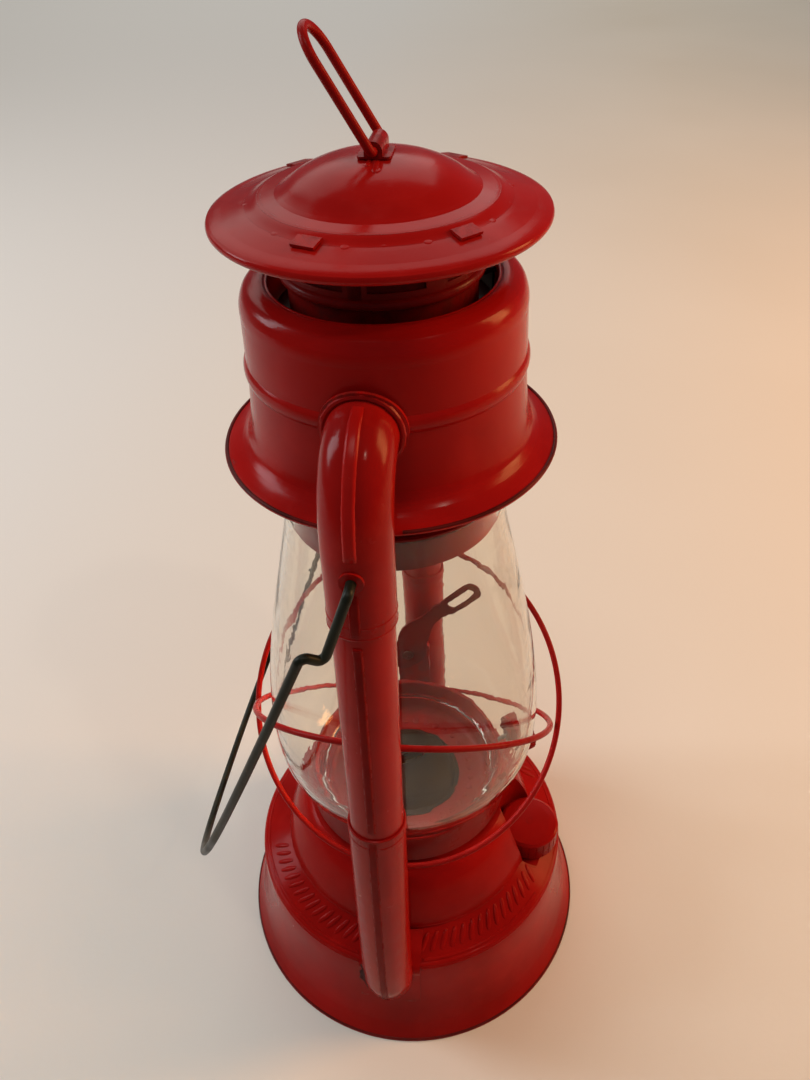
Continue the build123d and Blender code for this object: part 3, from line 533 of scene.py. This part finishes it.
for side, sx in (("left", -1), ("right", 1)):
    up_ax = Vector((0.053 * sx, 0, -1)).normalized()
    lo_ax = Vector((0.072 * sx, 0, -1)).normalized()
    # swaged lips at the ends of both sleeves, and the crimp rings just inside them
    bm = bmesh.new()
    ring_about(bm, (sx * u_line(266.0), 0, 266.0), up_ax, 10.28, 0.50, jitter=0.05, seed=11)
    ring_about(bm, (sx * u_line(270.2), 0, 270.2), up_ax, 10.42, 0.36, jitter=0.03, seed=12)
    link_mesh(f"{side}_upper_lip", bm, "frame", red_tube)
    bm = bmesh.new()
    ring_about(bm, (sx * l_line(168.0), 0, 168.0), lo_ax, 10.28, 0.50, jitter=0.05, seed=13)
    ring_about(bm, (sx * l_line(163.8), 0, 163.8), lo_ax, 10.42, 0.36, jitter=0.03, seed=14)
    link_mesh(f"{side}_lower_lip", bm, "frame", red_tube)
    # solder fillet round the elbow at the canopy
    bm = bmesh.new()
    ring_about(bm, (sx * 45.3, 0, 318), (1, 0, 0), 11.35, 0.95, 64, 0.14, 15)
    link_mesh(f"{side}_canopy_fillet", bm, "frame", red_tube)
    # solder beads at the guard's clip and foot
    bm = bmesh.new()
    for yy in (-3.4, 3.4):
        add_blob(bm, Vector((sx * 59.9, yy, 192.4)) * MM, ((0, 0, 1), (sx, 0, 0), (0, math.copysign(1, yy), 0)), (2.2 * MM, 1.1 * MM, 0.5 * MM))
    link_mesh(f"{side}_clip_solder", bm, "frame", red_tube)
    bm = bmesh.new()
    for yy in (-2.9, 2.9):
        add_blob(bm, Vector((sx * 50.6, yy, 93.0)) * MM, ((0, 0, 1), (sx, 0, 0), (0, math.copysign(1, yy), 0)), (3.6 * MM, 1.4 * MM, 0.6 * MM))
    link_mesh(f"{side}_foot_solder", bm, "frame", red_base)

# folded seam strip down the outside of each elbow
# the top one stops short of the bail's eye and goes on below it
EL_TOP = ((45.9, 318), (52.6, 316.1), (58.2, 311.1), (61.7, 304.0), (62.80, 299.5), (63.416, 294.2))
EL_TOP_2 = ((64.007, 283.1), (64.45, 275.2), (64.9, 266.6))
EL_LOW = ((71.06, 167.6), (72.1, 154), (74.2, 126), (75.9, 104), (77.1, 82), (77.5, 66), (76.9, 55.5), (73.4, 46.5), (67.5, 41.9))

EL_MID = ((65.1, 262.0), (65.32, 258.0), (66.9, 229.0), (68.9, 199.0), (70.48, 176.0), (70.74, 172.5))


def dense(pts, per=7):
    """Catmull-Rom points through pts."""
    P = [Vector((p[0], 0, p[1])) for p in pts]
    P = [P[0] * 2 - P[1]] + P + [P[-1] * 2 - P[-2]]
    out = []
    for i in range(1, len(P) - 2):
        a, b, c, d = P[i - 1:i + 3]
        for k in range(per):
            t = k / per
            out.append(0.5 * ((2 * b) + (c - a) * t + (2 * a - 5 * b + 4 * c - d) * t * t + (3 * b - a - 3 * c + d) * t ** 3))
    return out + [P[-2]]


def strip(bm, pts, sx, rad, half, high, seed):
    """Raised strip on the outer side of a bent tube in the XZ plane."""
    g = random.Random(seed)
    P = dense(pts)
    rows = []
    for i, p in enumerate(P):
        t = (P[min(i + 1, len(P) - 1)] - P[max(i - 1, 0)]).normalized()
        n = Vector((-t.z, 0, t.x))
        if n.x < 0 and n.z < 0.2:
            n = -n
        fade = min(1.0, (i + 0.6) / 3, (len(P) - i - 0.4) / 3)
        w = g.uniform(-0.06, 0.06)
        row = []
        for k in range(13):
            y = half * (k - 6) / 6
            h = high * fade * (1 - abs(y / half) ** 8) - 0.12
            y2 = y + w
            c = rad + h
            row.append(Vector(((p.x + n.x * math.sqrt(c * c - y2 * y2)) * sx, y2, p.z + n.z * math.sqrt(c * c - y2 * y2))) * MM)
        rows.append(row)
    add_grid(bm, rows)
    bmesh.ops.solidify(bm, geom=bm.faces[:], thickness=0.0002)


for side, sx in (("left", -1), ("right", 1)):
    bm = bmesh.new()
    strip(bm, EL_TOP, sx, 10.6, 1.75, 0.62, 21)
    strip(bm, EL_TOP_2, sx, 10.6, 1.75, 0.62, 24)
    link_mesh(f"{side}_top_seam", bm, "frame", red_seam_highlit)
    bm = bmesh.new()
    strip(bm, EL_LOW, sx, 10.6, 1.75, 0.46, 22)
    link_mesh(f"{side}_low_seam", bm, "frame", red_seam_highlit)
    bm = bmesh.new()
    strip(bm, EL_MID, sx, 9.9, 1.65, 0.92, 23)
    link_mesh(f"{side}_mid_seam", bm, "frame", red_seam_highlit)

# torn lap of the sleeve near the foot of the left tube
bm = bmesh.new()
rows = []
for i in range(11):
    z = 67.0 - i * 2.3
    w = 1.0 - 0.16 * abs(i - 5) + 0.28 * math.sin(i * 2.4)
    cx, rr = -(77.4 - 0.0045 * (66 - z) ** 2), 10.55
    row = []
    for j, (da, dr) in enumerate(((0, 0), (9, 0.35), (17, 1.1), (24, 2.3))):
        a = math.radians(128 - da - 2.0 * math.sin(i * 1.9))
        row.append(Vector((cx + (rr + dr * max(w, 0.15)) * math.cos(a), (rr + dr * max(w, 0.15)) * math.sin(a), z)) * MM)
    rows.append(row)
add_grid(bm, rows)
bmesh.ops.solidify(bm, geom=bm.faces[:], thickness=0.0005)
link_mesh("left_sleeve_lap", bm, "frame", red_worn)

# ------------------------------------------------------------------ canopy details
# lock seam down the canopy wall, at the back
bm = bmesh.new()
az = 62
prof_c = [(44.45, 302.0), (44.4, 309.0), (44.15, 315.6), (43.95, 322.8), (43.85, 330.0), (43.6, 336.2)]
rows = []
for rad, z in prof_c:
    row = []
    for j in range(9):
        w = -2.6 + 5.2 * j / 8
        h = 0.42 * (1 - abs(w / 2.6) ** 6)
        a = az + math.degrees(w / rad)
        row.append(polar(a, rad - 0.15 + h, z))
    rows.append(row)
add_grid(bm, rows)
bmesh.ops.solidify(bm, geom=bm.faces[:], thickness=0.0002)
link_mesh("canopy_lock_seam", bm, "frame", red_seam_highlit)

# dark worn wire rolled in the skirt's edge
bm = bmesh.new()
prof = []
for i in range(12):
    t = 2 * math.pi * i / 12
    prof.append(((54.55 + 0.62 * math.cos(t)) * MM, (289.85 + 0.58 * math.sin(t)) * MM))
for a0, a1 in ((12, 168), (192, 348)):
    add_revolve(bm, prof, n=84, a0=math.radians(a0), a1=math.radians(a1))
link_mesh("skirt_hem", bm, "frame", red_worn)

# rolled lip inside the canopy's mouth
bm = bmesh.new()
prof = []
for i in range(12):
    t = 2 * math.pi * i / 12
    prof.append(((34.6 + 0.55 * math.cos(t)) * MM, (344.55 + 0.55 * math.sin(t)) * MM))
add_revolve(bm, prof, n=110)
link_mesh("canopy_mouth_lip", bm, "frame", red)

# ------------------------------------------------------------------ hood details
# spot welds round the dome's flange
bm = bmesh.new()


def brim_z(rad):
    return 367.9 + (rad - 33.9) * (366.75 - 367.9) / (39.0 - 33.9)


for i, az in enumerate((143, 176, 191, 208, 241, 262, 285, 308, 352, 15, 78, 104)):
    rad = 36.9 + 0.5 * math.sin(i * 2.3)
    a = math.radians(az)
    slope = math.atan2(367.9 - 366.75, 39.0 - 33.9)
    zdir = Vector((math.sin(slope) * math.cos(a), math.sin(slope) * math.sin(a), math.cos(slope)))
    x, y, z = frame_at(zdir, (1, 0.01, 0))
    add_blob(bm, polar(az, rad, brim_z(rad)), (x, y, z), (1.25 * MM, 1.25 * MM, 0.14 * MM), nu=14, nv=5)
link_mesh("brim_welds", bm, "hood", red)

# soft step where the dome's flange is pressed down on the brim
bm = bmesh.new()
prof = [(32.6, 369.02), (33.5, 368.93), (34.3, 368.66), (35.1, 368.25), (35.9, 367.80), (36.8, 367.36), (37.6, 367.10), (37.6, 366.9), (33.6, 367.8), (32.6, 368.7)]
add_revolve(bm, [(a * MM, b * MM) for a, b in prof], n=144)
link_mesh("flange_step", bm, "hood", red, True, 60)

# rolled brim edge
bm = bmesh.new()
prof = []
for i in range(12):
    t = 2 * math.pi * i / 12
    prof.append(((47.95 + 0.75 * math.cos(t)) * MM, (362.95 + 0.95 * math.sin(t)) * MM))
add_revolve(bm, prof, n=140)
link_mesh("brim_roll", bm, "hood", red)

# paint runs below the saddle
bm = bmesh.new()
for az, d0, d1, w in ((188, 5.2, 11.5, 0.8), (171, 5.0, 8.5, 0.6), (352, 5.0, 8.0, 0.6)):
    for i in range(7):
        rad = d0 + (d1 - d0) * i / 6
        z = 378.3 - 0.0078 * rad * rad * 1.0
        a = math.radians(az)
        sl2 = 0.0156 * rad
        zdir = Vector((math.sin(sl2) * math.cos(a), math.sin(sl2) * math.sin(a), math.cos(sl2)))
        x, y, zz = frame_at(zdir, (-math.sin(a), math.cos(a), 0))
        ww = w * (1 + (0.5 if i == 6 else 0))
        add_blob(bm, polar(az, rad, z), (x, y, zz), (ww * 1.3 * MM, ww * MM, 0.26 * MM), nu=12, nv=4)
link_mesh("saddle_drips", bm, "hood", red)

# louvre lips bent inward behind the lower half of each vent
bm = bmesh.new()
for k in range(8):
    mid = 152.0 + 45 * k
    rows = []
    for z, rr in ((351.0, 28.95), (352.6, 28.8), (354.2, 28.62), (355.0, 28.5)):
        rows.append([polar(mid - 17 + 34 * j / 10, rr, z) for j in range(11)])
    add_grid(bm, rows)
bmesh.ops.solidify(bm, geom=bm.faces[:], thickness=0.00015)
link_mesh("vent_louvres", bm, "hood", red_in_shaded)

# vertical lap seam of the neck
bm = bmesh.new()
rows = []
for z in (349.6, 351.0, 356.6, 360.8):
    row = []
    for j in range(7):
        w = -2.0 + 4.0 * j / 6
        h = 0.40 * (1 - abs(w / 2.0) ** 4)
        row.append(polar(174.5 + math.degrees(w / 29.4), 29.35 + h, z))
    rows.append(row)
add_grid(bm, rows)
bmesh.ops.solidify(bm, geom=bm.faces[:], thickness=0.0002)
link_mesh("neck_lap_seam", bm, "hood", red_in_shaded)

# ------------------------------------------------------------------ globe details
bm = bmesh.new()
prof = []
for i in range(14):
    t = 2 * math.pi * i / 14
    prof.append(((37.9 + 1.22 * math.cos(t)) * MM, (272.55 + 0.9 * math.sin(t)) * MM))
add_revolve(bm, prof, n=120)
link_mesh("globe_rim", bm, "globe_carrier", glass_m)

for o in (frame["nodes"]["globe"], bpy.data.objects["globe_rim"]):
    o.visible_shadow = False      # clear glass: the lamps' light reaches what is inside

# ------------------------------------------------------------------ globe plate details
bm = bmesh.new()
for i in range(36):
    a = math.radians(10 * i)
    c = Vector((30.0 * math.cos(a), 30.0 * math.sin(a), 96.1)) * MM
    add_blob(bm, c, ((-math.sin(a), math.cos(a), 0), (math.cos(a), math.sin(a), 0), (0, 0, 1)), (1.5 * MM, 1.5 * MM, 0.45 * MM), nu=12, nv=4)
link_mesh("plate_dimples", bm, "globe_carrier", red_in_shaded)

# the wick: a flat woven band with a frayed, charred top
PHI = math.radians(-55)
bm = bmesh.new()
W, T, Z0, Z1 = 7.5, 1.2, 15.6, 102.8
nz, nx = 150, 20
rows = []
g = random.Random(9)
for i in range(nz + 1):
    z = Z0 + (Z1 - Z0 - 0.7) * i / nz
    row = []
    for k in range(2 * nx):
        t = 2 * math.pi * k / (2 * nx)
        cx, cy = math.cos(t), math.sin(t)
        xx = W * 0.985 * math.copysign(abs(cx) ** 0.45, cx)
        yy = T * 0.86 * math.copysign(abs(cy) ** 0.45, cy)
        bulge = 0.10 * (math.sin(xx * 4.2) * math.sin(z * 3.0 + (0 if cy > 0 else 1.5)))
        yy += math.copysign(bulge, cy) if abs(cx) < 0.97 else 0
        top = g.uniform(-0.55, 0.55) if i == nz else (g.uniform(-0.2, 0.2) if i > nz - 3 else 0)
        row.append(Vector((xx * math.cos(PHI) - yy * math.sin(PHI), xx * math.sin(PHI) + yy * math.cos(PHI), z + top)) * MM)
    rows.append(row)
V = add_grid(bm, rows, True)
bm.faces.new(V[0][::-1])
bm.faces.new(V[-1])
wick_o = link_mesh("wick_band", bm, "wick", wick_m, True, 60)
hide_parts("wick")


# ------------------------------------------------------------------ the hood's spring, in two lengths
# the upper turns stay with the frame, the lower ones go with the globe carrier
SPRING_TOP, SPRING_CUT, SPRING_LOW = 0.3337, 0.3170, 0.2890


def spring_part(name, above, body):
    src = frame["nodes"]["hood_spring"]
    bm = bmesh.new()
    bm.from_mesh(src.data)
    bm.transform(src.matrix_world)
    bmesh.ops.remove_doubles(bm, verts=bm.verts, dist=1e-6)
    bmesh.ops.bisect_plane(bm, geom=bm.verts[:] + bm.edges[:] + bm.faces[:], plane_co=(0, 0, SPRING_CUT), plane_no=(0, 0, 1),
                           clear_inner=above, clear_outer=not above)
    bmesh.ops.holes_fill(bm, edges=[e for e in bm.edges if e.is_boundary], sides=0)
    o = link_mesh(name, bm, body, spring_steel)
    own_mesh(o)
    return o


spring_up = spring_part("hood_spring_upper_turns", True, "frame")
spring_dn = spring_part("hood_spring_lower_turns", False, "globe_carrier")
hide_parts("hood_spring")
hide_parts("hood_spring")

# thread rolled in the filler neck, seen when the cap is up
bm = bmesh.new()
FX, FY = -5.2, -59.3
pts = []
for i in range(3 * 40 + 1):
    a = 2 * math.pi * i / 40
    pts.append(Vector((FX + 10.46 * math.cos(a), FY + 10.46 * math.sin(a), 58.0 + 2.5 * i / 40)) * MM)
rad = [0.36 * MM * min(1, (j + 1) / 8, (len(pts) - j) / 8) + 0.02 * MM for j in range(len(pts))]
add_tube(bm, pts, rad, 8)
link_mesh("neck_thread", bm, "frame", steel)

# ------------------------------------------------------------------ stage
bm = bmesh.new()
bmesh.ops.create_circle(bm, cap_ends=True, segments=96, radius=6.0)
me = bpy.data.meshes.new("floor")
bm.to_mesh(me)
bm.free()
floor = bpy.data.objects.new("floor", me)
SC.collection.objects.link(floor)
floor.location.z = -0.0002
fm = Mat("pale_floor", Roughness=0.8, Specular_IOR_Level=0.2)
fc = fm.mix(fm.rng(fm.noise(2.0, 3, 0.5), 0.3, 0.7, 0, 1), (0.82, 0.735, 0.61), (0.86, 0.78, 0.66))
fx, fy, fz = fm.xyz()
# the +Y side painted a cooler, more neutral tone than the warm -Y side: painted light from the cool key and the warm
# fill
fc = fm.mix(fm.rng(fy, -0.30, 0.40, 0, 1), fc, (0.80, 0.785, 0.745))
# darker towards the camera's side (-X): painted shade on the near floor
fm.color(fm.mix(fm.rng(fx, -0.70, -0.18, 0, 1), (0.36, 0.325, 0.28), fc))
fm.bump((fm.noise(260, 4, 0.6), 0.12, 0.0006))
me.materials.append(fm.m)

w = bpy.data.worlds.new("studio")
SC.world = w
w.use_nodes = True
w.node_tree.nodes["Background"].inputs[0].default_value = (0.86, 0.90, 1.0, 1)
w.node_tree.nodes["Background"].inputs[1].default_value = 0.115


def area(name, loc, aim, size, power, col, spread=math.pi):
    li = bpy.data.lights.new(name, "AREA")
    li.shape = "RECTANGLE"
    li.size, li.size_y = size
    li.energy = power
    li.color = col
    li.spread = spread
    o = bpy.data.objects.new(name, li)
    SC.collection.objects.link(o)
    o.location = loc
    d = (Vector(aim) - Vector(loc)).normalized()
    x, y, z = frame_at(-d)
    o.matrix_world = Matrix((x, y, z)).transposed().to_4x4()
    o.matrix_world.translation = loc
    return o


# image left is +Y, image right is -Y, away from the camera is +X
area("key_window", (0.15, 1.6, 1.1), (0, 0, 0.18), (0.6, 1.0), 15.6, (0.90, 0.95, 1.0))
area("warm_fill", (0.45, -1.5, 0.85), (0, 0, 0.12), (0.5, 1.0), 20.5, (1.0, 0.47, 0.16))
area("back_soft", (3.2, 1.1, 2.6), (2.0, 0.7, 0), (4.0, 3.0), 54, (1.0, 0.97, 0.91))
area("top_soft", (-0.5, 0.15, 1.9), (0, 0, 0.2), (0.5, 0.5), 4.5, (1.0, 0.93, 0.84))
area("small_lamp", (-0.55, -0.75, 1.5), (0, 0, 0.15), (0.07, 0.07), 1.45, (1.0, 0.86, 0.70))
